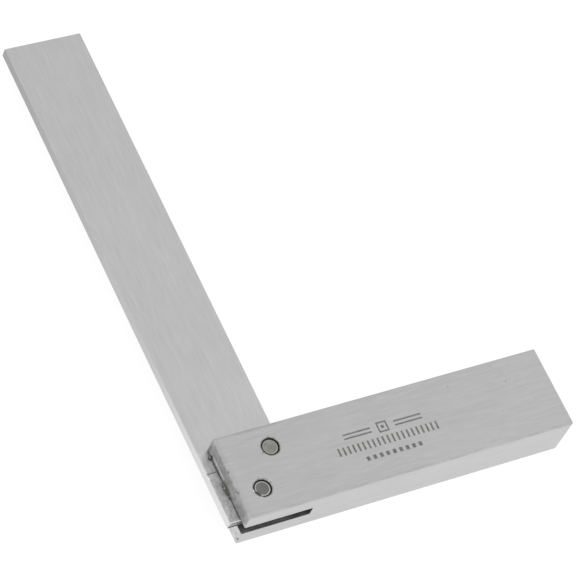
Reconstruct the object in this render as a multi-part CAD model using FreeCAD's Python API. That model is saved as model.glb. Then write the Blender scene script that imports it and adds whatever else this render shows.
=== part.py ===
import FreeCAD, Part
import os

# A wide-base engineer's square: a thick ground stock, slotted at one end, and a thin ground blade
# held in the slot at 90 degrees by two through pins and adhesive.
#
# The square lies flat. X runs along the stock, from the blade's side to the stock's free end.
# Y runs along the blade, from the heel to the tip. Z goes up through the thickness.
# The origin is the middle of the whole square in X and Y, on the stock's underside.

# ---- Driving dimensions, in millimetres ----

# Blade
blade_reach = 125.0          # stock's outer face to the blade's tip
blade_width = 18.6
blade_thickness = 2.4
blade_proud = 2.5            # blade's outer edge beyond the stock's slotted end
blade_heel_recess = 2.0      # blade's heel end behind the stock's outer face
blade_edge_break = 0.15

# Stock
stock_length = 80.0
stock_width = 19.3
stock_thickness = 11.5
stock_edge_break = 0.25

# Slot in the stock
slot_side_clearance = 0.18   # above and below the blade
slot_floor_clearance = 0.25  # between the blade's inner edge and the slot's floor

# Pins
pin_diameter = 4.0
pin_face_recess = 0.15       # each end face, below the stock's face
pin_rim_radial = 0.25        # the shallow chamfer round each end face
pin_rim_axial = 0.1
pin_lead_radial = 0.25       # the steep lead-in taper below it
pin_lead_axial = 0.5
pin_hole_edge_break = 0.12
outer_pin_from_stock_end = 5.6
outer_pin_from_outer_face = 5.7
inner_pin_from_blade_edge = 4.7
inner_pin_from_inner_face = 5.1

# Adhesive
bead_height = 0.7            # up the stock's end face, from the blade
bead_reach = 0.5             # out over the blade, from the stock's end face
bead_end_margin = 1.0        # bare length at each end of the bead
droplet_radius = 0.65
inner_droplet_from_inner_face = 2.05
outer_droplet_from_outer_face = 9.7

# ---- Places that follow from them ----

blade_outer_x = -(blade_proud + stock_length) / 2
blade_inner_x = blade_outer_x + blade_width
stock_end_x = blade_outer_x + blade_proud
stock_free_end_x = stock_end_x + stock_length
slot_floor_x = blade_inner_x + slot_floor_clearance

outer_face_y = -blade_reach / 2
inner_face_y = outer_face_y + stock_width
blade_heel_y = outer_face_y + blade_heel_recess
blade_tip_y = outer_face_y + blade_reach

blade_bottom_z = (stock_thickness - blade_thickness) / 2
blade_top_z = blade_bottom_z + blade_thickness
slot_bottom_z = blade_bottom_z - slot_side_clearance
slot_top_z = blade_top_z + slot_side_clearance

pin_radius = pin_diameter / 2
outer_pin_centre = (stock_end_x + outer_pin_from_stock_end, outer_face_y + outer_pin_from_outer_face)
inner_pin_centre = (blade_inner_x - inner_pin_from_blade_edge, inner_face_y - inner_pin_from_inner_face)
pin_centres = (outer_pin_centre, inner_pin_centre)

# A cut starts this far outside the face that it opens.
cut_overrun = 1.0


def block(x_range, y_range, z_range):
    """A box between two values along each axis."""
    corner = FreeCAD.Vector(x_range[0], y_range[0], z_range[0])
    return Part.makeBox(
        x_range[1] - x_range[0],
        y_range[1] - y_range[0],
        z_range[1] - z_range[0],
        corner,
    )


def revolved(centre, profile):
    """A solid turned about the vertical line through centre from (radius, height) points."""
    points = [FreeCAD.Vector(radius, 0, height) for radius, height in profile]
    face = Part.Face(Part.makePolygon(points + points[:1]))
    solid = face.revolve(FreeCAD.Vector(0, 0, 0), FreeCAD.Vector(0, 0, 1), 360)
    solid.translate(FreeCAD.Vector(centre[0], centre[1], 0))
    return solid


def drilled(solid):
    """The solid with both pin holes straight through it."""
    for centre in pin_centres:
        foot = FreeCAD.Vector(centre[0], centre[1], 0)
        solid = solid.cut(Part.makeCylinder(pin_radius, stock_thickness, foot))
    return solid


def stock_pin_hole(centre):
    """The cutter for one pin hole of the stock: straight through, with a small break at each mouth."""
    mouth_radius = pin_radius + pin_hole_edge_break
    return revolved(centre, [
        (0, -cut_overrun),
        (mouth_radius, -cut_overrun),
        (mouth_radius, 0),
        (pin_radius, pin_hole_edge_break),
        (pin_radius, stock_thickness - pin_hole_edge_break),
        (mouth_radius, stock_thickness),
        (mouth_radius, stock_thickness + cut_overrun),
        (0, stock_thickness + cut_overrun),
    ])


def pin(centre):
    """A pin with a lead-in taper and a rim at each end, both end faces just below the stock's faces."""
    rim_radius = pin_radius - pin_lead_radial
    face_radius = rim_radius - pin_rim_radial
    bottom = pin_face_recess
    bottom_rim = bottom + pin_rim_axial
    top = stock_thickness - pin_face_recess
    top_rim = top - pin_rim_axial
    return revolved(centre, [
        (0, bottom),
        (face_radius, bottom),
        (rim_radius, bottom_rim),
        (pin_radius, bottom_rim + pin_lead_axial),
        (pin_radius, top_rim - pin_lead_axial),
        (rim_radius, top_rim),
        (face_radius, top),
        (0, top),
    ])


def stock():
    """The bar, its edges broken, with the blade's slot and the two pin holes."""
    bar = block(
        (stock_end_x, stock_free_end_x),
        (outer_face_y, inner_face_y),
        (0, stock_thickness),
    )
    bar = bar.makeChamfer(stock_edge_break, bar.Edges)
    slot = block(
        (stock_end_x - cut_overrun, slot_floor_x),
        (outer_face_y - cut_overrun, inner_face_y + cut_overrun),
        (slot_bottom_z, slot_top_z),
    )
    bar = bar.cut(slot)
    for centre in pin_centres:
        bar = bar.cut(stock_pin_hole(centre))
    return bar


def blade():
    """The strip, its edges broken, with the two pin holes."""
    strip = block(
        (blade_outer_x, blade_inner_x),
        (blade_heel_y, blade_tip_y),
        (blade_bottom_z, blade_top_z),
    )
    strip = strip.makeChamfer(blade_edge_break, strip.Edges)
    return drilled(strip)


def adhesive_film():
    """The layer that fills the slot above, below and behind the blade, open where the pins pass."""
    filling = block(
        (stock_end_x, slot_floor_x),
        (blade_heel_y + blade_edge_break, inner_face_y - stock_edge_break),
        (slot_bottom_z, slot_top_z),
    )
    blade_space = block(
        (stock_end_x - cut_overrun, blade_inner_x),
        (outer_face_y, blade_tip_y),
        (blade_bottom_z, blade_top_z),
    )
    return drilled(filling.cut(blade_space))


def adhesive_bead():
    """The squeezed-out bead in the corner of the blade's top and the stock's end, with two droplets."""
    start_y = blade_heel_y + bead_end_margin
    length = inner_face_y - bead_end_margin - start_y
    corner = [
        FreeCAD.Vector(stock_end_x, start_y, blade_top_z),
        FreeCAD.Vector(stock_end_x - bead_reach, start_y, blade_top_z),
        FreeCAD.Vector(stock_end_x, start_y, blade_top_z + bead_height),
    ]
    fillet = Part.Face(Part.makePolygon(corner + corner[:1]))
    bead = fillet.extrude(FreeCAD.Vector(0, length, 0))
    droplet_ys = (
        outer_face_y + outer_droplet_from_outer_face,
        inner_face_y - inner_droplet_from_inner_face,
    )
    open_corner = block(
        (stock_end_x - 2 * droplet_radius, stock_end_x),
        (outer_face_y, inner_face_y),
        (blade_top_z, blade_top_z + 2 * droplet_radius),
    )
    for droplet_y in droplet_ys:
        centre = FreeCAD.Vector(stock_end_x, droplet_y, blade_top_z)
        droplet = Part.makeSphere(droplet_radius, centre)
        bead = bead.fuse(droplet.common(open_corner))
    return bead


def slot_adhesive():
    """The cured adhesive as one piece: the film in the slot and the bead along its mouth."""
    return adhesive_film().fuse(adhesive_bead()).removeSplitter()


nodes = {
    "stock": stock(),
    "blade": blade(),
    "outer_pin": pin(outer_pin_centre),
    "inner_pin": pin(inner_pin_centre),
    "slot_adhesive": slot_adhesive(),
}

os.makedirs("parts", exist_ok=True)
for name, shape in nodes.items():
    shape.exportStep("parts/" + name + ".step")
    size = shape.BoundBox
    print(
        name,
        "solids", len(shape.Solids),
        "valid", shape.isValid(),
        "volume", round(shape.Volume, 2),
        "box", [round(v, 2) for v in (size.XMin, size.YMin, size.ZMin, size.XMax, size.YMax, size.ZMax)],
    )
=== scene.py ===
# %% [markdown]
# # A wide-base engineer's square
#
# The square has two ground steel parts. The stock is a thick bar, and the blade is a thin strip held in
# a slot in the stock's end by two pins and some adhesive. Nothing moves. The work here is in what makes
# steel look machined: small rounded edges, the grain that grinding leaves, a pin that sits a little below
# the face, and the bead of adhesive that was squeezed out of the slot.

# %% Load the frame
import bpy
import math
import random
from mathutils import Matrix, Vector


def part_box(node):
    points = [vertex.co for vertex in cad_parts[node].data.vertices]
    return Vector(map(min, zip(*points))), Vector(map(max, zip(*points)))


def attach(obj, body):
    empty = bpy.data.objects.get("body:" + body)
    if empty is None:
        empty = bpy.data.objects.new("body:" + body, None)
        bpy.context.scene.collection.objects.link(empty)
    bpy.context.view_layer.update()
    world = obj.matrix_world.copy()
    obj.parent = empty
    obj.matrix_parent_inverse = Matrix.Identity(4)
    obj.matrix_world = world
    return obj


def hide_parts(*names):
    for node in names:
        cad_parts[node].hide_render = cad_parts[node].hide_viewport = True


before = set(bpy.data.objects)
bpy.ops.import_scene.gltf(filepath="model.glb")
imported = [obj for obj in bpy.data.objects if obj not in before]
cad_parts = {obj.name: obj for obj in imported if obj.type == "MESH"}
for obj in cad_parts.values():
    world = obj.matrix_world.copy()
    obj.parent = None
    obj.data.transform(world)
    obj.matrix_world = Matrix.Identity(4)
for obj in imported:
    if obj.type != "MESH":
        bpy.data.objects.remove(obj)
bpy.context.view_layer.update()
print("nodes:", sorted(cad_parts))

# %% [markdown]
# ## Working in millimetres
#
# The frame is in metres, but the smallest details here are a few hundredths of a millimetre, and several
# mesh tools treat points that close as one point. So every piece is modelled a thousand times too large,
# one unit to the millimetre, and is scaled down when it is finished. The sizes come from the CAD nodes.

# %% Read the sizes of the CAD nodes, in millimetres
MILLIMETRES = 1000

# Places closer together than this count as one place.
NEAR = 0.01


def node_box(node):
    """The lowest and highest corners of a CAD node, in millimetres."""
    low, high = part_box(node)
    return low * MILLIMETRES, high * MILLIMETRES


stock_low, stock_high = node_box("stock")
blade_low, blade_high = node_box("blade")
film_low, film_high = node_box("slot_adhesive")
pin_boxes = {name: node_box(name) for name in ("outer_pin", "inner_pin")}
pin_middles = {name: (low + high) / 2 for name, (low, high) in pin_boxes.items()}
pin_radius = (pin_boxes["outer_pin"][1].x - pin_boxes["outer_pin"][0].x) / 2
slot_bottom_z = film_low.z
slot_top_z = blade_high.z + (blade_low.z - slot_bottom_z)
slot_floor_x = film_high.x
print("stock", [round(v, 2) for v in stock_high - stock_low])
print("blade", [round(v, 2) for v in blade_high - blade_low])
print("slot", round(slot_bottom_z, 2), "to", round(slot_top_z, 2), "floor at", round(slot_floor_x, 2))

# %% [markdown]
# ## The few operations that every piece uses
#
# Each piece starts as a primitive at its place. The helpers below add a block, cut one mesh with
# another as a saw or a drill would, and pick faces and edges by where they are. An operator acts on
# everything that is selected, so each helper first deselects everything.

# %% Selecting and adding
def make_active(piece):
    """Select this piece alone."""
    bpy.ops.object.select_all(action="DESELECT")
    piece.select_set(True)
    bpy.context.view_layer.objects.active = piece


def add_block(name, low, high):
    """A cube primitive that fills the space from low to high."""
    low, high = Vector(low), Vector(high)
    bpy.ops.object.select_all(action="DESELECT")
    bpy.ops.mesh.primitive_cube_add(size=1, location=(low + high) / 2, scale=high - low)
    block = bpy.context.object
    block.name = name
    bpy.ops.object.transform_apply(location=True, rotation=True, scale=True)
    return block


def add_ball(centre, radii, subdivisions=3):
    """An ico sphere stretched to three radii."""
    bpy.ops.object.select_all(action="DESELECT")
    bpy.ops.mesh.primitive_ico_sphere_add(
        subdivisions=subdivisions, radius=1, location=centre, scale=radii)
    ball = bpy.context.object
    bpy.ops.object.transform_apply(location=True, rotation=True, scale=True)
    return ball


def join(pieces, name):
    """Several objects as one."""
    bpy.ops.object.select_all(action="DESELECT")
    for piece in pieces:
        piece.select_set(True)
    bpy.context.view_layer.objects.active = pieces[0]
    bpy.ops.object.join()
    bpy.context.object.name = name
    return bpy.context.object


# %% Cutting and applying
def apply_modifier(piece, kind, **settings):
    """Add one modifier with these settings and apply it."""
    modifier = piece.modifiers.new(kind.lower(), kind)
    for key, value in settings.items():
        setattr(modifier, key, value)
    make_active(piece)
    bpy.ops.object.modifier_apply(modifier=modifier.name)


def cut(piece, cutter, operation="DIFFERENCE"):
    """Cut the piece with another closed mesh, which is then thrown away."""
    apply_modifier(piece, "BOOLEAN", operation=operation, solver="EXACT", object=cutter)
    bpy.data.objects.remove(cutter)


def merge_close_points(piece, reach):
    """Merge points that a cut left almost on top of each other, and drop the slivers between them."""
    make_active(piece)
    bpy.ops.object.mode_set(mode="EDIT")
    bpy.ops.mesh.select_all(action="SELECT")
    bpy.ops.mesh.remove_doubles(threshold=reach)
    bpy.ops.mesh.dissolve_degenerate(threshold=reach / 2)
    bpy.ops.object.mode_set(mode="OBJECT")


# %% Selecting faces and edges by their place
def select_in_edit_mode(piece, kind, items, test):
    """Stay in edit mode with only those faces or edges selected that pass the test."""
    make_active(piece)
    bpy.ops.object.mode_set(mode="EDIT")
    bpy.ops.mesh.select_mode(type=kind)
    bpy.ops.mesh.select_all(action="DESELECT")
    bpy.ops.object.mode_set(mode="OBJECT")
    for item in items:
        item.select = test(item)
    bpy.ops.object.mode_set(mode="EDIT")


def select_faces(piece, test):
    """Select the faces whose centre and normal pass the test."""
    select_in_edit_mode(
        piece, "FACE", piece.data.polygons, lambda face: test(face.center, face.normal))


def select_edges(piece, test):
    """Select the edges whose two ends both pass the test."""
    corners = piece.data.vertices
    select_in_edit_mode(
        piece, "EDGE", piece.data.edges, lambda edge: all(test(corners[i].co) for i in edge.vertices))


# %% Breaking edges and finishing a piece
def break_sharp_edges(piece, radius, segments=2, sharper_than=50):
    """Take the corner off every edge that is still sharp, as a deburring stone does."""
    make_active(piece)
    bpy.ops.object.mode_set(mode="EDIT")
    bpy.ops.mesh.select_mode(type="EDGE")
    bpy.ops.mesh.select_all(action="DESELECT")
    bpy.ops.mesh.edges_select_sharp(sharpness=math.radians(sharper_than))
    bpy.ops.mesh.bevel(offset=radius, segments=segments, affect="EDGES", clamp_overlap=True)
    bpy.ops.object.mode_set(mode="OBJECT")


def paint(piece, material, test):
    """Give a second material to the faces whose centre and normal pass the test."""
    piece.data.materials.append(material)
    for face in piece.data.polygons:
        if test(face.center, face.normal):
            face.material_index = len(piece.data.materials) - 1


def finish(piece, name, nodes, smooth_angle=32):
    """Shade a modelled piece, bring it to real size and hand it to the frame."""
    make_active(piece)
    piece.name = name
    piece.data.name = name
    bpy.ops.object.shade_smooth_by_angle(angle=math.radians(smooth_angle))
    apply_modifier(piece, "WEIGHTED_NORMAL", keep_sharp=True, weight=80)
    piece.scale = (1 / MILLIMETRES,) * 3
    bpy.ops.object.transform_apply(location=True, rotation=True, scale=True)
    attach(piece, "root")
    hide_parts(*nodes)
    print(name, len(piece.data.polygons), "faces,", [m.name for m in piece.data.materials])


# %% [markdown]
# ## Node groups
#
# A material is a tree of nodes. Some effects are needed in several trees: the grain of ground steel, a soft
# rectangle, a soft ring. Each of these is built once as a node group with named inputs, and every material
# gives it its own values. A group here puts out only numbers that change over the surface, never a shader.

# %% Helpers for nodes
def set_input(tree, node, socket, value):
    """Link a socket to this input, or set it to a value."""
    if isinstance(value, bpy.types.NodeSocket):
        tree.links.new(value, node.inputs[socket])
    else:
        node.inputs[socket].default_value = value


def add_node(tree, kind, inputs, **settings):
    """A node with its settings and its inputs."""
    made = tree.nodes.new(kind)
    for key, value in settings.items():
        setattr(made, key, value)
    for socket, value in inputs.items():
        set_input(tree, made, socket, value)
    return made


def math_node(tree, operation, first, second=0.0):
    """The result of one sum on two numbers."""
    return add_node(tree, "ShaderNodeMath", {0: first, 1: second}, operation=operation).outputs[0]


def vector_node(tree, operation, first, second=(0.0, 0.0, 0.0)):
    """The results of one sum on two vectors: the socket Vector, or Value where it is a number."""
    return add_node(tree, "ShaderNodeVectorMath", {0: first, 1: second}, operation=operation).outputs


def map_range(tree, value, from_low, from_high, to_low, to_high, curve="SMOOTHSTEP"):
    """A number moved from one range to another and kept within it, along an S curve or a line."""
    return add_node(
        tree, "ShaderNodeMapRange",
        {"Value": value, "From Min": from_low, "From Max": from_high, "To Min": to_low, "To Max": to_high},
        interpolation_type=curve).outputs["Result"]


def new_group(name, inputs, outputs):
    """An empty node group. inputs and outputs map a socket's name to its type."""
    tree = bpy.data.node_groups.new(name, "ShaderNodeTree")
    for in_out, sockets in (("INPUT", inputs), ("OUTPUT", outputs)):
        for socket, kind in sockets.items():
            tree.interface.new_socket(name=socket, in_out=in_out, socket_type=kind)
    return tree, tree.nodes.new("NodeGroupInput").outputs, tree.nodes.new("NodeGroupOutput")


def use_group(tree, group, inputs):
    """One use of a node group in a material."""
    made = tree.nodes.new("ShaderNodeGroup")
    made.node_tree = group
    for socket, value in inputs.items():
        set_input(tree, made, socket, value)
    return made.outputs


def mix_numbers(tree, share, first, second):
    """A number between two numbers. A Mix node takes numbers at its inputs 2 and 3."""
    return add_node(tree, "ShaderNodeMix", {0: share, 2: first, 3: second}).outputs[0]


def mix_colours(tree, share, first, second, mode="MIX"):
    """A colour between two colours. A Mix node takes colours at 6 and 7 and gives one at 2."""
    return add_node(
        tree, "ShaderNodeMix", {0: share, 6: first, 7: second},
        data_type="RGBA", blend_type=mode).outputs[2]


FLOAT, VECTOR = "NodeSocketFloat", "NodeSocketVector"

# %% [markdown]
# ## The grain of ground steel
#
# A grinding wheel leaves fine parallel scratches along the bar. From arm's length they don't show as lines
# but as short faint streaks, some a little brighter, some a little duller. Noise looks like this when it is
# squeezed across the grain and drawn out along it. The group multiplies the place by a stretch to do that,
# and gives a fine noise, a coarser one, and clouds that aren't stretched at all.

# %% The grain group
grain_group, grain_in, grain_out = new_group(
    "Ground grain",
    {"Place": VECTOR, "Stretch": VECTOR},
    {"Scratches": FLOAT, "Streaks": FLOAT, "Clouds": FLOAT},
)
drawn_out = vector_node(grain_group, "MULTIPLY", grain_in["Place"], grain_in["Stretch"])["Vector"]
for socket, place, scale, detail in (
        ("Scratches", drawn_out, 1.0, 4.0),
        ("Streaks", drawn_out, 0.3, 3.0),
        ("Clouds", grain_in["Place"], 0.09, 2.0)):
    noise = add_node(
        grain_group, "ShaderNodeTexNoise",
        {"Vector": place, "Scale": scale, "Detail": detail, "Roughness": 0.6})
    grain_group.links.new(noise.outputs["Fac"], grain_out.inputs[socket])
print("group:", grain_group.name)

# %% [markdown]
# ## Soft rectangles and soft rings
#
# The etched mark, the dark corner by the adhesive and the dirt round the pins are all patches at a known
# place. A soft rectangle is 1 inside, 0 outside and fades over its softness. It compares the distance from
# its centre with its half size along each axis, and the worst of the three decides. A soft ring does the
# same with the distance from an upright axis.

# %% The rectangle group
rectangle_group, rectangle_in, rectangle_out = new_group(
    "Soft rectangle",
    {"Place": VECTOR, "Centre": VECTOR, "Half size": VECTOR, "Softness": FLOAT},
    {"Mask": FLOAT},
)
offset = vector_node(rectangle_group, "SUBTRACT", rectangle_in["Place"], rectangle_in["Centre"])["Vector"]
offset = vector_node(rectangle_group, "ABSOLUTE", offset)["Vector"]
offset = vector_node(rectangle_group, "SUBTRACT", offset, rectangle_in["Half size"])["Vector"]
axes = add_node(rectangle_group, "ShaderNodeSeparateXYZ", {0: offset}).outputs
outside = math_node(rectangle_group, "MAXIMUM", axes["X"], axes["Y"])
outside = math_node(rectangle_group, "MAXIMUM", outside, axes["Z"])
full_from = math_node(rectangle_group, "MULTIPLY", rectangle_in["Softness"], -1.0)
mask = map_range(rectangle_group, outside, full_from, rectangle_in["Softness"], 1.0, 0.0)
rectangle_group.links.new(mask, rectangle_out.inputs["Mask"])
print("group:", rectangle_group.name)

# %% The ring group
ring_group, ring_in, ring_out = new_group(
    "Soft ring",
    {"Place": VECTOR, "Centre": VECTOR, "Radius": FLOAT, "Half width": FLOAT, "Softness": FLOAT},
    {"Mask": FLOAT},
)
offset = vector_node(ring_group, "SUBTRACT", ring_in["Place"], ring_in["Centre"])["Vector"]
offset = vector_node(ring_group, "MULTIPLY", offset, (1.0, 1.0, 0.0))["Vector"]
reach = vector_node(ring_group, "LENGTH", offset)["Value"]
miss = math_node(ring_group, "ABSOLUTE", math_node(ring_group, "SUBTRACT", reach, ring_in["Radius"]))
outside = math_node(ring_group, "SUBTRACT", miss, ring_in["Half width"])
mask = map_range(ring_group, outside, 0.0, ring_in["Softness"], 1.0, 0.0)
ring_group.links.new(mask, ring_out.inputs["Mask"])
print("group:", ring_group.name)

# %% [markdown]
# ## Building a material step by step
#
# A steel starts as one recipe: a metal whose colour follows the streaks and whose roughness follows the
# scratches. Then things are laid over it one at a time, each with a mask: a stain, a mark, some dirt. A
# small class keeps the colour and the roughness between the steps and links them to the shader at the end.
# The shader's own constants, such as Metallic, are set straight on its sockets.

# %% A finish in layers
NEUTRAL = (1.0, 1.0, 1.0)
OLIVE = (0.99, 1.0, 0.9)
BROWN = (1.0, 0.93, 0.8)
COARSE_SHARE = 0.4
CLOUD_DEPTH = 0.015


def grey(value, tint=NEUTRAL):
    """An RGBA grey with a slight tint."""
    return (value * tint[0], value * tint[1], value * tint[2], 1.0)


class Finish:
    """A material under construction, with its place in millimetres, its colour and its roughness."""

    def __init__(self, name, metallic=1.0):
        self.material = bpy.data.materials.new(name)
        self.material.use_nodes = True
        self.tree = self.material.node_tree
        self.shader = self.tree.nodes["Principled BSDF"]
        self.shader.inputs["Metallic"].default_value = metallic
        self.metal = metallic
        coordinates = self.tree.nodes.new("ShaderNodeTexCoord").outputs["Object"]
        self.place = add_node(
            self.tree, "ShaderNodeVectorMath", {0: coordinates, "Scale": MILLIMETRES},
            operation="SCALE").outputs[0]

    def along(self, axis):
        """The place along one axis."""
        return add_node(self.tree, "ShaderNodeSeparateXYZ", {0: self.place}).outputs[axis]

    def spread(self, value, low, high, from_low=0.3, from_high=0.7):
        """Noise, moved from its usual range to the range from low to high."""
        return map_range(self.tree, value, from_low, from_high, low, high, curve="LINEAR")

    def blotches(self, stretch, low, high):
        """Noise with its own stretch, from low to high, with more contrast than the grain has."""
        place = vector_node(self.tree, "MULTIPLY", self.place, stretch)["Vector"]
        noise = add_node(
            self.tree, "ShaderNodeTexNoise",
            {"Vector": place, "Scale": 1.0, "Detail": 3.0, "Roughness": 0.6}).outputs["Fac"]
        return self.spread(noise, low, high, from_low=0.4, from_high=0.6)

    def rectangle(self, low, high, softness):
        """A soft rectangle's mask, between two corners."""
        low, high = Vector(low), Vector(high)
        return use_group(
            self.tree, rectangle_group,
            {"Place": self.place, "Centre": (low + high) / 2, "Half size": (high - low) / 2,
             "Softness": softness})["Mask"]

    def ring(self, centre, radius, half_width, softness):
        """A soft ring's mask."""
        return use_group(
            self.tree, ring_group,
            {"Place": self.place, "Centre": centre, "Radius": radius, "Half width": half_width,
             "Softness": softness})["Mask"]

    def spot(self, centre, reach):
        """A small soft spot that fades out at its reach."""
        half = Vector((reach / 2,) * 3)
        return self.rectangle(centre - half, centre + half, reach / 2)

    def both(self, first, second):
        """Where both masks are."""
        return math_node(self.tree, "MULTIPLY", first, second)

    def either(self, first, second):
        """Where either mask is."""
        return math_node(self.tree, "MAXIMUM", first, second)

    def tinted(self, factor):
        """Multiply the colour by a grey, a tint or a number that varies."""
        self.colour = mix_colours(self.tree, 1.0, self.colour, factor, "MULTIPLY")

    def grind(self, stretch, dull, bright, roughness, bump):
        """Ground steel: two greys for the streaks, a low and a high roughness, and a ripple's height."""
        grain = use_group(self.tree, grain_group, {"Place": self.place, "Stretch": stretch})
        fine = self.spread(grain["Scratches"], 0.0, 1.0)
        coarse = self.spread(grain["Streaks"], 0.0, 1.0)
        streaked = mix_numbers(self.tree, COARSE_SHARE, fine, coarse)
        self.colour = mix_colours(self.tree, streaked, grey(dull), grey(bright))
        self.tinted(self.spread(grain["Clouds"], 1 - CLOUD_DEPTH, 1 + CLOUD_DEPTH))
        self.roughness = self.spread(grain["Scratches"], *roughness)
        self.height = grain["Scratches"]
        self.bump = bump

    def lay(self, mask, colour, roughness, metal=1.0):
        """Something laid over the surface where the mask is. Dirt and glue aren't metal."""
        self.colour = mix_colours(self.tree, mask, self.colour, colour)
        self.roughness = mix_numbers(self.tree, mask, self.roughness, roughness)
        if metal != self.metal:
            self.metal = mix_numbers(self.tree, mask, self.metal, metal)

    def stain(self, mask, stretch, share, colour, roughness, metal=1.0):
        """Something laid over the mask in blotches, whose share runs from a low to a high one."""
        self.lay(self.both(mask, self.blotches(stretch, *share)), colour, roughness, metal)

    def done(self):
        """Link what was built to the shader."""
        ripple = add_node(
            self.tree, "ShaderNodeBump",
            {"Height": self.height, "Strength": 1.0, "Distance": self.bump / MILLIMETRES})
        self.tree.links.new(self.colour, self.shader.inputs["Base Color"])
        self.tree.links.new(self.roughness, self.shader.inputs["Roughness"])
        if isinstance(self.metal, bpy.types.NodeSocket):
            self.tree.links.new(self.metal, self.shader.inputs["Metallic"])
        self.tree.links.new(ripple.outputs["Normal"], self.shader.inputs["Normal"])
        print("material:", self.material.name)
        return self.material


# %% [markdown]
# ## The stock's finish
#
# The stock is ground along its length, so its grain runs along X. The slotted end is less tidy than the
# rest. It was cut across, so the marks on it run up and down, and some of the adhesive was wiped over it
# and left it dull and blotchy, with rubbed patches in the middle and a pale streak of painted highlight
# just above the adhesive. The corner by the adhesive is darkened by residue and painted shade. The top face
# is worn a little duller along its edges, with a line of painted shade along its back edge. Some dirt is
# caught round each pin and in the pits, and painted glints sit where the outer pin's hole was bruised.

# %% The stock steel
ALONG_X = (0.25, 4.0, 4.0)
ALONG_Y = (4.0, 0.25, 4.0)
end_x, front_y, back_y, top_z = stock_low.x, stock_low.y, stock_high.y, stock_high.z
steel = Finish("stock_steel")
steel.grind(ALONG_X, 0.48, 0.59, (0.31, 0.40), 0.004)


def from_corner(along, across, up):
    """A place measured from the slotted end, the front face and the top face."""
    return Vector((end_x + along, front_y + across, top_z + up))


# %% The slotted end
SKIN = 0.12


def on_end(y_range, z_range, softness):
    """A soft rectangle on the slotted end, from the front face and from the blade's top face."""
    return steel.rectangle(
        (end_x - 1, front_y + y_range[0], blade_high.z + z_range[0]),
        (end_x + SKIN, front_y + y_range[1], blade_high.z + z_range[1]), softness)


wiped = on_end((1.5, 19.1), (0, 4.55), 0.15)
steel.stain(wiped, (1.0, 0.9, 0.45), (0.3, 1.0), grey(0.34), 0.5)
scored = on_end((0, 19.3), (-7, 4.4), 0.1)
steel.stain(scored, (1.0, 4.5, 0.3), (0.0, 0.4), grey(0.3), 0.5)
lower_jaw = on_end((0.2, 19.1), (-7, -2.6), 0.1)
steel.stain(lower_jaw, (1.0, 0.8, 1.2), (0.3, 0.9), grey(0.66), 0.4)
# Adhesive residue and painted shade darken the corner just above the blade.
corner_glue_and_shade = on_end((2.0, 19.3), (0, 0.4), 0.45)
steel.stain(corner_glue_and_shade, (1.0, 1.4, 1.0), (0.05, 0.65), grey(0.16, BROWN), 0.4)
drop_dirt = on_end((8.2, 11.4), (0, 1.0), 0.6)
steel.stain(drop_dirt, (1.0, 2.6, 2.6), (0.0, 0.65), grey(0.12, BROWN), 0.4)
upper_smear = on_end((9.0, 17.5), (1.9, 4.0), 0.4)
steel.stain(upper_smear, (1.0, 0.8, 1.2), (0.2, 0.8), grey(0.24), 0.5)
rubbed_low = on_end((6.4, 9.2), (1.7, 2.3), 0.35)
steel.lay(steel.both(rubbed_low, 0.6), grey(0.6), 0.45)
rubbed_high = on_end((5.1, 6.7), (3.3, 3.7), 0.25)
steel.lay(rubbed_high, grey(0.55), 0.45)
# A pale streak just above the adhesive is a painted highlight, laid as a non-metal.
painted_highlight_streak = on_end((11.4, 16.7), (1.05, 1.4), 0.3)
steel.stain(painted_highlight_streak, (1.0, 0.7, 0.6), (0.6, 1.0), grey(0.85), 0.5, metal=0.0)

# %% Worn edges of the top face, and painted shade along its back edge
end_edge = steel.rectangle(
    (end_x - 1, front_y + 0.4, top_z - 0.05), (end_x + 0.8, back_y - 0.4, top_z + 1), 0.6)
steel.stain(end_edge, (0.8, 0.5, 1.0), (0.15, 0.6), grey(0.4), 0.45)
front_edge = steel.rectangle(
    (end_x + 0.4, front_y - 1, top_z - 0.55), (stock_high.x + 1, front_y + 0.3, top_z + 1), 0.2)
steel.stain(front_edge, (0.25, 1.0, 1.0), (0.6, 1.0), grey(0.4), 0.4)
# A thin line of painted shade along the back edge, above the blade.
back_edge_shade = steel.rectangle(
    (end_x + 0.4, back_y - 0.55, top_z - 0.05), (blade_high.x, back_y - 0.15, top_z + 1), 0.15)
steel.stain(back_edge_shade, (0.4, 1.0, 1.0), (0.1, 0.6), grey(0.36), 0.4)

# %% Dirt round the pins and in the pits
SMUDGES = {"inner_pin": (79, 45, 200), "outer_pin": (88, 60, 43, 18)}
SMUDGE_RADIUS = pin_radius + 0.32
PITS = [
    (from_corner(0.05, 6.2, -0.15), 0.34),
    (from_corner(0.05, 6.7, -0.35), 0.3),
    (from_corner(0.05, 11.3, -0.2), 0.3),
    (from_corner(0.05, 10.9, -0.45), 0.26),
    (from_corner(0.05, 0.35, -9.7), 0.45),
    (from_corner(69.7, 13.8, 0), 0.2),
    (from_corner(67.9, 18.2, 0), 0.18),
    (from_corner(56.1, 16.3, 0), 0.16),
]


def round_pin(middle, degrees, radius):
    """A place on the top face, at an angle and a distance from a pin's middle."""
    angle = math.radians(degrees)
    return Vector((middle.x + radius * math.cos(angle), middle.y + radius * math.sin(angle), top_z))


for name, angles in SMUDGES.items():
    middle = pin_middles[name]
    caught = steel.ring(middle, pin_radius + 0.05, 0.11, 0.14)
    steel.stain(caught, (0.8, 0.8, 0.3), (0.45, 0.9), grey(0.13, BROWN), 0.5)
    for angle in angles:
        smudge = steel.spot(round_pin(middle, angle, SMUDGE_RADIUS), 0.4)
        steel.stain(smudge, (2.5, 2.5, 1.0), (0.2, 0.8), grey(0.2, BROWN), 0.5)
for pit, reach in PITS:
    steel.lay(steel.spot(pit, reach), grey(0.16), 0.6)

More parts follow.
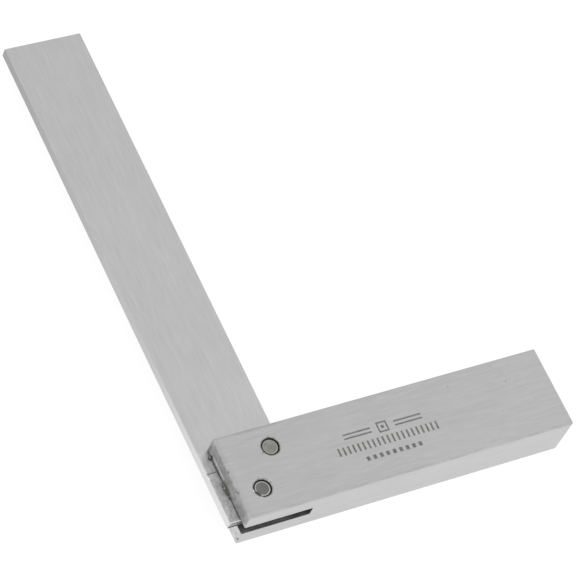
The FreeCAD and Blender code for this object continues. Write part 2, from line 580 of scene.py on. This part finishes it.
# %% Painted glints where the outer pin's hole was bruised
outer_middle = pin_middles["outer_pin"]
BRUISE_GLINTS = [
    Vector((outer_middle.x + across, outer_middle.y + along, top_z))
    for across, along in ((-1.02, -1.81), (-2.06, -0.05))
]
PAINTED_GLINT_GREY = 0.95
# Each bruise carries a painted highlight, a near-white glossy spot.
for bruise_glint in BRUISE_GLINTS:
    steel.lay(steel.spot(bruise_glint, 0.32), grey(PAINTED_GLINT_GREY), 0.25)

# %% [markdown]
# ## A generic etched mark
#
# The size and other marks are etched on the stock's top as dull grey lines with no depth. A plain sign
# stands in for them here, with no lettering: a square with a dot between double lines, a band of upright
# strokes and a row of small blocks. A band is one soft rectangle, cut into strokes by a ramp that repeats.

# %% The etched mark
mark_x = end_x + 37.4
STROKE = 0.34
EDGE_FADE = 0.09
SQUARE_HALF, SQUARE_LOW, SQUARE_HIGH = 1.25, 10.3, 12.8


def etched(x_range, y_range):
    """A bar on the stock's top, measured from the middle of the mark and the front face."""
    return steel.rectangle(
        (mark_x + x_range[0], front_y + y_range[0], top_z - 0.05),
        (mark_x + x_range[1], front_y + y_range[1], top_z + 1.0), EDGE_FADE)


def strokes(band, pitch, share):
    """The band cut into upright strokes."""
    from_middle = math_node(steel.tree, "SUBTRACT", steel.along("X"), mark_x)
    ramp = math_node(steel.tree, "PINGPONG", from_middle, pitch / 2)
    stroke = steel.spread(ramp, 1.0, 0.0, share * pitch / 2 - EDGE_FADE, share * pitch / 2 + EDGE_FADE)
    return steel.both(band, stroke)


mark = etched((-0.35, 0.35), (11.2, 11.9))
for low in (SQUARE_LOW, SQUARE_HIGH - STROKE):
    mark = steel.either(mark, etched((-SQUARE_HALF, SQUARE_HALF), (low, low + STROKE)))
for side in (-1, 1):
    upright = sorted((side * SQUARE_HALF, side * (SQUARE_HALF - STROKE)))
    mark = steel.either(mark, etched(upright, (SQUARE_LOW, SQUARE_HIGH)))
    for row in (10.9, 11.85):
        mark = steel.either(mark, etched(sorted((side * 2.9, side * 9.6)), (row, row + STROKE)))
mark = steel.either(mark, strokes(etched((-12.6, 12.6), (7.5, 9.4)), 1.2, 0.38))
mark = steel.either(mark, strokes(etched((-7.2, 7.2), (4.9, 5.9)), 1.6, 0.5))
mark = steel.both(mark, steel.blotches((3.0, 3.0, 1.0), 0.75, 1.0))
steel.lay(mark, grey(0.11, (1.0, 0.97, 0.86)), 0.6)
stock_steel = steel.done()

# %% [markdown]
# ## The blade's finish
#
# The blade is ground along its own length, so its grain runs along Y. Its outer edge was ground in another
# pass and is duller towards the tip. Near the heel, beside the stock, the face was scraped when the square
# was set, so it is rougher and blotchy there, up to a line scratched across it. Painted light brightens
# that strip and fades out a little beyond the line. The heel's lower edge carries a painted shadow, and a
# glint is painted on the nick in the outer edge.

# %% The blade steel
steel = Finish("blade_steel")
steel.grind(ALONG_Y, 0.555, 0.645, (0.30, 0.38), 0.003)
SCRIBE_FROM_HEEL = 11.9
scribe_y = blade_low.y + SCRIBE_FROM_HEEL
# A painted glint, a near-white spot, sits on the nick in the outer edge where the scribed line starts.
edge_nick_glint = Vector((blade_low.x + 0.1, scribe_y - 0.9, blade_high.z - 0.05))
EDGE_GLINT_REACH, EDGE_GLINT_GREY = 0.4, 0.98


def on_heel(x_range, y_range, z_range, softness):
    """A soft rectangle near the heel, measured from the blade's lowest corner."""
    near, far = (blade_low + Vector(corner) for corner in zip(x_range, y_range, z_range))
    return steel.rectangle(near, far, softness)


# Beside the stock, pale blotches of painted light brighten the strip, and darker blotches show the
# scraping.
scraped_with_painted_light = on_heel((-1, 2.5), (-1, SCRIBE_FROM_HEEL), (0.5, 4), 0.1)
steel.stain(scraped_with_painted_light, (1.6, 0.5, 1.0), (0.4, 1.0), grey(0.88), 0.45)
steel.stain(scraped_with_painted_light, (1.2, 0.9, 1.3), (0.0, 0.45), grey(0.4), 0.5)
# The painted light fades out beyond the scribed line.
painted_light_beyond_scribe = on_heel((-1, 2.5), (SCRIBE_FROM_HEEL, 17.0), (0.5, 4), 0.5)
steel.stain(painted_light_beyond_scribe, (1.6, 0.5, 1.0), (0.2, 0.6), grey(0.88), 0.45)
scribe_dirt = on_heel((0, 2.5), (SCRIBE_FROM_HEEL - 0.06, SCRIBE_FROM_HEEL + 0.06), (1, 4), 0.06)
steel.lay(scribe_dirt, grey(0.2), 0.5)
glue_smear = on_heel((1.9, 2.6), (6.0, 9.3), (2, 4), 0.2)
steel.stain(glue_smear, (3.0, 3.0, 1.0), (0.0, 0.8), grey(0.12, BROWN), 0.4)
# A painted shadow along the heel's lower edge, near black and not metal.
lower_edge_shadow = on_heel((0.05, 2.6), (-1, 0.2), (-1, 0.8), 0.15)
steel.lay(lower_edge_shadow, grey(0.02), 0.9, metal=0.0)
heel_dull = on_heel((-1, 2.6), (-1, 0.02), (0.3, 2.15), 0.1)
steel.stain(heel_dull, (1.2, 1.0, 2.0), (0.4, 1.0), grey(0.27), 0.5)
# A dark band just below the heel's top edge.
upper_edge_dark_band = on_heel((0.6, 2.3), (-1, 0.02), (1.6, 2.05), 0.1)
steel.lay(upper_edge_dark_band, grey(0.04), 0.7, metal=0.0)
steel.lay(steel.spot(edge_nick_glint, EDGE_GLINT_REACH), grey(EDGE_GLINT_GREY), 0.25)
blade_steel = steel.done()

# %% The blade's outer edge
edge = Finish("blade_edge_steel")
edge.grind(ALONG_Y, 0.52, 0.60, (0.28, 0.36), 0.003)
towards_tip = edge.spread(edge.along("Y"), 0.0, 1.0, blade_low.y + 20, blade_high.y)
edge.lay(towards_tip, grey(0.35), 0.4)
towards_heel = edge.spread(edge.along("Y"), 1.0, 0.0, blade_low.y + 6, blade_low.y + 40)
edge.lay(towards_heel, grey(0.72), 0.3)
edge.lay(edge.spot(edge_nick_glint, EDGE_GLINT_REACH), grey(EDGE_GLINT_GREY), 0.25)
blade_edge_steel = edge.done()

# %% [markdown]
# ## The pins' finish
#
# The pins are harder and darker than the stock, and their ends show rings from turning. A ring of noise
# would need polar coordinates, but one soft ring after another does it more plainly: the rim carries a
# painted highlight, the groove round the pin holds dirt and painted shade, and the middle is dull.

# %% The two pin steels
FACE_RINGS = (0.35, 0.72, 1.22)
RIM_HIGHLIGHT_RADIUS = 1.56
RIM_DIRT = 1.68
GLINT_INWARDS = 0.08


def pin_finish(name, middle, face, rim_highlight, tint, glints=(), dirty_angles=()):
    """A pin's steel: the greys of its end face and of its painted rim highlight, and painted glints or
    dirty places on the rim.
    """
    steel = Finish(name)
    steel.grind((1.6, 1.6, 1.0), face * 0.85, face * 1.15, (0.34, 0.5), 0.003)
    steel.tinted(grey(1.0, tint))
    for radius in FACE_RINGS:
        ring = steel.ring(middle, radius, 0.04, 0.1)
        steel.stain(ring, (1.1, 1.1, 0.5), (0.2, 1.0), grey(face * 0.62, tint), 0.5)
    # A painted highlight round the rim.
    steel.lay(steel.ring(middle, RIM_HIGHLIGHT_RADIUS, 0.08, 0.08), grey(rim_highlight, tint), 0.3)
    # Dirt and painted shade in the groove between the pin's lead and its hole.
    steel.lay(steel.ring(middle, pin_radius, 0.2, 0.07), grey(0.14, BROWN), 0.5)
    for angle in dirty_angles:
        steel.lay(steel.spot(round_pin(middle, angle, RIM_DIRT), 0.5), grey(0.08, BROWN), 0.5)
    for bruise_glint in glints:
        on_pin = bruise_glint + (middle - bruise_glint) * GLINT_INWARDS
        steel.lay(steel.spot(on_pin, 0.38), grey(PAINTED_GLINT_GREY), 0.25)
    return steel.done()


PALE_TINT = (1.0, 1.0, 0.97)
outer_pin_steel = pin_finish(
    "outer_pin_steel", outer_middle, 0.21, 0.47, PALE_TINT, BRUISE_GLINTS, dirty_angles=(198, 212, 226))
inner_pin_steel = pin_finish("inner_pin_steel", pin_middles["inner_pin"], 0.32, 0.37, OLIVE)

# %% [markdown]
# ## The slot's walls and the adhesive
#
# Nobody grinds the inside of a slot. The saw leaves it rough and dark, and it shows almost black. The
# adhesive is a dark, glossy anaerobic glue, thinner and browner where it was smeared.

# %% Dark finishes
walls = Finish("slot_wall_steel")
walls.grind((0.3, 2.5, 2.5), 0.13, 0.34, (0.45, 0.65), 0.01)
# Painted shade darkens the walls further, deeper into the slot.
painted_shade_inwards = walls.spread(walls.along("Y"), 0.0, 0.6, front_y + 0.7, front_y + 1.4)
walls.lay(painted_shade_inwards, grey(0.05), 0.6)
slot_wall_steel = walls.done()

UPPER_DROP_Y, LOWER_DROP_Y = back_y - 2.05, front_y + 9.7
LUMP_START, LUMP_END = front_y + 7.2, front_y + 10.8
glue = Finish("adhesive", metallic=0.0)
glue.grind((1.2, 1.2, 1.2), 0.03, 0.11, (0.12, 0.3), 0.01)
glue.tinted(grey(1.0, BROWN))
messy = glue.rectangle((end_x - 2, LUMP_START, slot_top_z), (end_x + 1, LUMP_END + 0.1, top_z), 0.4)
glue.stain(messy, (4.0, 4.0, 4.0), (0.0, 1.0), grey(0.2, (1.0, 0.97, 0.9)), 0.3, metal=0.0)
for drop_y in (UPPER_DROP_Y, LOWER_DROP_Y):
    glint = Vector((end_x - 0.38, drop_y, blade_high.z + 0.5))
    glue.lay(glue.spot(glint, 0.24), grey(0.42), 0.1, metal=0.0)
adhesive = glue.done()

# %% [markdown]
# ## The stock
#
# The stock is a ground bar, so it is made in the order in which it is machined. A block has its edges
# broken. Then the slot and the two pin holes are cut, and what is still sharp is broken by much less.

# %% The bar, its slot and its pin holes
OVERRUN = 1.0
STOCK_EDGE = 0.24
CUT_EDGE = 0.07
MOUTH = 0.2
bar = add_block("stock", stock_low, stock_high)
break_sharp_edges(bar, STOCK_EDGE, segments=3)
slot_cutter = add_block(
    "slot_cutter",
    (end_x - OVERRUN, front_y - OVERRUN, slot_bottom_z),
    (slot_floor_x, back_y + OVERRUN, slot_top_z))
cut(bar, slot_cutter)


def drill(piece, depth):
    """Both pin holes, right through the piece."""
    for middle in pin_middles.values():
        bpy.ops.object.select_all(action="DESELECT")
        bpy.ops.mesh.primitive_cylinder_add(
            vertices=96, radius=pin_radius, depth=depth + 2 * OVERRUN, location=middle)
        cut(piece, bpy.context.object)


drill(bar, stock_high.z)
break_sharp_edges(bar, CUT_EDGE)
print("slotted bar", len(bar.data.polygons), "faces")

# %% [markdown]
# ## Nicks and pits
#
# A workshop tool is never quite clean. A small dent is the shape of what made it, so each one is cut with a
# stretched ball that dips into the surface by a few hundredths of a millimetre.

# %% Nicks in the stock
stock_nicks = [
    (from_corner(0.05, 1.7, 0), (0.22, 0.3, 0.14)),
    (from_corner(0.05, 6.2, -0.05), (0.3, 0.26, 0.2)),
    (from_corner(0.0, 11.2, -0.05), (0.25, 0.34, 0.2)),
    (from_corner(0.02, 8.4, 0), (0.2, 0.5, 0.08)),
    (from_corner(60.9, 0.02, 0), (0.35, 0.2, 0.14)),
    (from_corner(67.9, 18.2, 0), (0.16, 0.12, 0.05)),
    (from_corner(69.7, 13.8, 0), (0.2, 0.14, 0.06)),
    (from_corner(56.1, 16.3, 0), (0.15, 0.12, 0.05)),
    (from_corner(66.6, 15.1, 0), (0.18, 0.12, 0.05)),
    (from_corner(0.05, 0.35, -9.7), (0.25, 0.3, 0.3)),
]
stock_nicks += [(bruise_glint, (0.26, 0.26, 0.12)) for bruise_glint in BRUISE_GLINTS]


def nick(piece, dents):
    """Cut every dent in the list: a centre and the ball's three radii."""
    balls = [add_ball(centre, radii) for centre, radii in dents]
    cut(piece, join(balls, "dents"))


nick(bar, stock_nicks)
bar.data.materials.append(stock_steel)


def is_slot_wall(centre, normal):
    """Whether a face's centre lies in the slot, clear of its mouth's broken edges."""
    return (
        slot_bottom_z - NEAR < centre.z < slot_top_z + NEAR
        and end_x + MOUTH < centre.x < slot_floor_x + NEAR
        and front_y + MOUTH < centre.y < back_y - MOUTH)


paint(bar, slot_wall_steel, is_slot_wall)
finish(bar, "stock_body", ["stock"])

# %% [markdown]
# ## The blade
#
# The blade is a thin ground strip. It gets smaller broken edges than the stock, the same two holes, a line
# scratched across it beside the stock, and a nick in the outer edge where that line starts.

# %% The strip
HEEL_EDGE = 0.24
BLADE_EDGE = 0.12
SCRIBE_DEPTH = 0.06
SCRIBE_LENGTH = 3.5
strip = add_block("blade", blade_low, blade_high)
select_edges(strip, lambda corner: corner.y < blade_low.y + NEAR and corner.z > blade_high.z - NEAR)
bpy.ops.mesh.bevel(offset=HEEL_EDGE, segments=3, affect="EDGES")
bpy.ops.object.mode_set(mode="OBJECT")
break_sharp_edges(strip, BLADE_EDGE, segments=3)
drill(strip, blade_high.z)
bpy.ops.object.select_all(action="DESELECT")
bpy.ops.mesh.primitive_cube_add(
    size=1, location=((blade_low.x + end_x) / 2, scribe_y, blade_high.z),
    rotation=(math.radians(45), 0, math.radians(2)),
    scale=(SCRIBE_LENGTH, 2 * SCRIBE_DEPTH, 2 * SCRIBE_DEPTH))
cut(strip, bpy.context.object)
nick(strip, [
    (edge_nick_glint, (0.14, 0.22, 0.1)),
    ((blade_low.x + 0.6, blade_low.y, blade_high.z), (0.3, 0.12, 0.1)),
    ((blade_low.x + 1.8, blade_low.y, blade_high.z), (0.2, 0.14, 0.12)),
])
strip.data.materials.append(blade_steel)
paint(strip, blade_edge_steel, lambda centre, normal: normal.x < -0.5 and centre.x < blade_low.x + 0.2)
finish(strip, "blade_strip", ["blade"])

# %% [markdown]
# ## The pins
#
# Each pin is a hard cylinder with a tapered lead at each end, so that it starts easily in its hole, and it
# sits a little below the faces. The ends are built as on a lathe: from the cylinder, each step extrudes the
# end face to the next radius and height. A step is a radius and a rise. Last come the shallow rings of
# the dished face.

# %% A pin's end, step by step
LEAD_AND_RIM = [(1.75, 0.5), (1.7, 0.06), (1.5, 0.04)]
DISHED_FACE = [
    (1.38, -0.03), (1.05, -0.012), (1.0, 0.008), (0.75, -0.012), (0.7, 0.008), (0.4, -0.012), (0.34, 0.006)]
LEAD_HEIGHT = sum(rise for radius, rise in LEAD_AND_RIM)


def step_end(side, radius, new_radius, rise):
    """Extrude the end face by rise and resize it. side is 1 for the top end and -1 for the bottom."""
    bpy.ops.mesh.extrude_region_move(TRANSFORM_OT_translate={"value": (0, 0, side * rise)})
    ratio = new_radius / radius
    bpy.ops.transform.resize(value=(ratio, ratio, 1))


def turn_pin(low, high):
    """A pin from its lowest to its highest corner."""
    bpy.ops.object.select_all(action="DESELECT")
    bpy.ops.mesh.primitive_cylinder_add(
        vertices=96, radius=pin_radius, depth=high.z - low.z - 2 * LEAD_HEIGHT, location=(low + high) / 2)
    piece = bpy.context.object
    bpy.ops.object.transform_apply(location=True, rotation=True, scale=True)
    for side in (1, -1):
        select_faces(piece, lambda centre, normal: normal.z * side > 0.9)
        radius = pin_radius
        for new_radius, rise in LEAD_AND_RIM + DISHED_FACE:
            step_end(side, radius, new_radius, rise)
            radius = new_radius
        bpy.ops.object.mode_set(mode="OBJECT")
    return piece


for name, material in (("outer_pin", outer_pin_steel), ("inner_pin", inner_pin_steel)):
    pin = turn_pin(*pin_boxes[name])
    pin.data.materials.append(material)
    finish(pin, name + "_turned", [name])

# %% [markdown]
# ## The adhesive
#
# The adhesive was put in the slot before the blade, and what the blade pushed out set as a thin dark line
# along the slot's mouth, with one drop near the inner corner and a lump halfway. Inside it is only a film:
# the slot's space without the blade and the pins. The line outside is a row of small overlapping balls of
# uneven size, which a voxel remesh melts into one skin. Then it is trimmed flat against the steel and
# joined to the film.

# %% The squeezed-out line
rng = random.Random(5)
BEAD_RADIUS = 0.26
BARE_END = 1.0
THIN, THICK = 0.57, 1.4
VOXEL = 0.06
DROPS = ((UPPER_DROP_Y, 0.56), (LOWER_DROP_Y, 0.5), (LOWER_DROP_Y + 0.7, 0.38))
balls = []
y = blade_low.y + BARE_END
while y < back_y - BARE_END:
    swell = THICK if LUMP_START < y < LUMP_END else THIN
    size = BEAD_RADIUS * swell * rng.uniform(0.55, 1.2)
    height = size * rng.uniform(0.9, 1.6)
    balls.append(add_ball((end_x, y, blade_high.z), (size, rng.uniform(0.35, 0.8), height), subdivisions=2))
    y += rng.uniform(0.25, 0.55)
for drop_y, radius in DROPS:
    balls.append(add_ball((end_x - 0.12, drop_y, blade_high.z + 0.1), (radius, radius, radius * 1.05)))
bead = join(balls, "bead")
apply_modifier(bead, "REMESH", mode="VOXEL", voxel_size=VOXEL)
apply_modifier(bead, "SMOOTH", factor=0.5, iterations=6)
corner = add_block("open_corner", (end_x - 2, front_y, blade_high.z), (end_x, back_y, top_z))
cut(bead, corner, "INTERSECT")
print("bead", len(bead.data.polygons), "faces")

# %% The film inside the slot
film = add_block(
    "slot_adhesive", (end_x, film_low.y, slot_bottom_z), (slot_floor_x, film_high.y, slot_top_z))
blade_space = add_block(
    "blade_space", (end_x - 1, film_low.y - 1, blade_low.z), (blade_high.x, film_high.y + 1, blade_high.z))
cut(film, blade_space)
drill(film, slot_top_z)
cut(film, bead, "UNION")
merge_close_points(film, NEAR)
film.data.materials.append(adhesive)
finish(film, "slot_adhesive_bead", ["slot_adhesive"], smooth_angle=60)

# %% [markdown]
# ## The floor and the light
#
# Polished steel has almost no look of its own: it shows the room. So the room is kept very plain. The floor
# is white and glows a little, which fills the sides of the bar. The sky is a soft gradient, brighter on two
# sides, as between large windows, so that the flat faces aren't all one grey. Low down it is a little
# darker, so that the upright faces stand out from the floor. To the camera itself it is white.

# %% Floor
FLOOR_SIZE = 8
FLOOR_DROP = 0.0001
FLOOR_GREY = 0.2
FLOOR_GLOW = 0.86
bpy.ops.object.select_all(action="DESELECT")
bpy.ops.mesh.primitive_plane_add(size=FLOOR_SIZE, location=(0, 0, -FLOOR_DROP))
floor = bpy.context.object
floor.name = "floor"
floor_white = bpy.data.materials.new("floor_white")
floor_white.use_nodes = True
floor_inputs = floor_white.node_tree.nodes["Principled BSDF"].inputs
floor_inputs["Base Color"].default_value = grey(FLOOR_GREY)
floor_inputs["Roughness"].default_value = 1.0
floor_inputs["Specular IOR Level"].default_value = 0.0
floor_inputs["Emission Color"].default_value = grey(1.0)
floor_inputs["Emission Strength"].default_value = FLOOR_GLOW
floor.data.materials.append(floor_white)

# %% Sky
WINDOW_AXIS = (math.cos(math.radians(-50)), math.sin(math.radians(-50)), 0.0)
DARKEST = -0.22
GLOW_LOW, GLOW_HIGH = 0.73, 1.45
HORIZON, HAZE_TOP = 0.72, 0.6
SEEN_WHITE = 1.1
world = bpy.data.worlds.new("studio")
bpy.context.scene.world = world
world.use_nodes = True
sky = world.node_tree
direction = sky.nodes.new("ShaderNodeTexCoord").outputs["Generated"]
towards = vector_node(sky, "DOT_PRODUCT", direction, WINDOW_AXIS)["Value"]
from_darkest = math_node(sky, "ABSOLUTE", math_node(sky, "SUBTRACT", towards, DARKEST))
glow = map_range(sky, from_darkest, 0.0, 1.0, GLOW_LOW, GLOW_HIGH)
upwards = add_node(sky, "ShaderNodeSeparateXYZ", {0: direction}).outputs["Z"]
haze = map_range(sky, upwards, 0.0, HAZE_TOP, HORIZON, 1.0)
glow = math_node(sky, "MULTIPLY", glow, haze)
seen = sky.nodes.new("ShaderNodeLightPath").outputs["Is Camera Ray"]
brightness = mix_numbers(sky, seen, glow, SEEN_WHITE)
background = sky.nodes["Background"]
background.inputs["Color"].default_value = grey(1.0)
sky.links.new(brightness, background.inputs["Strength"])
bpy.context.scene.view_settings.view_transform = "Standard"

# %% [markdown]
# ## The camera
#
# The camera looks down on the slotted end from the blade's side, and it is turned about its own axis so
# that the blade leans to the left. A long lens keeps the edges nearly parallel.

# %% Camera
CAMERA_AZIMUTH = math.radians(-48.62)
CAMERA_ELEVATION = math.radians(54.09)
CAMERA_ROLL = math.radians(27.93)
CAMERA_DISTANCE = 0.70807
CAMERA_AIM = Vector((-0.00366, -0.01114, 0.00575))
backwards = Vector((
    math.sin(CAMERA_AZIMUTH) * math.cos(CAMERA_ELEVATION),
    -math.cos(CAMERA_AZIMUTH) * math.cos(CAMERA_ELEVATION),
    math.sin(CAMERA_ELEVATION)))
bpy.ops.object.camera_add(location=CAMERA_AIM + backwards * CAMERA_DISTANCE)
camera = bpy.context.object
camera.rotation_euler = (-backwards).to_track_quat("-Z", "Y").to_euler()
camera.rotation_euler.rotate_axis("Z", CAMERA_ROLL)
camera.data.lens = 203.33
camera.data.sensor_width = 36
camera.data.clip_start = 0.01
camera.data.clip_end = 20
bpy.context.scene.camera = camera
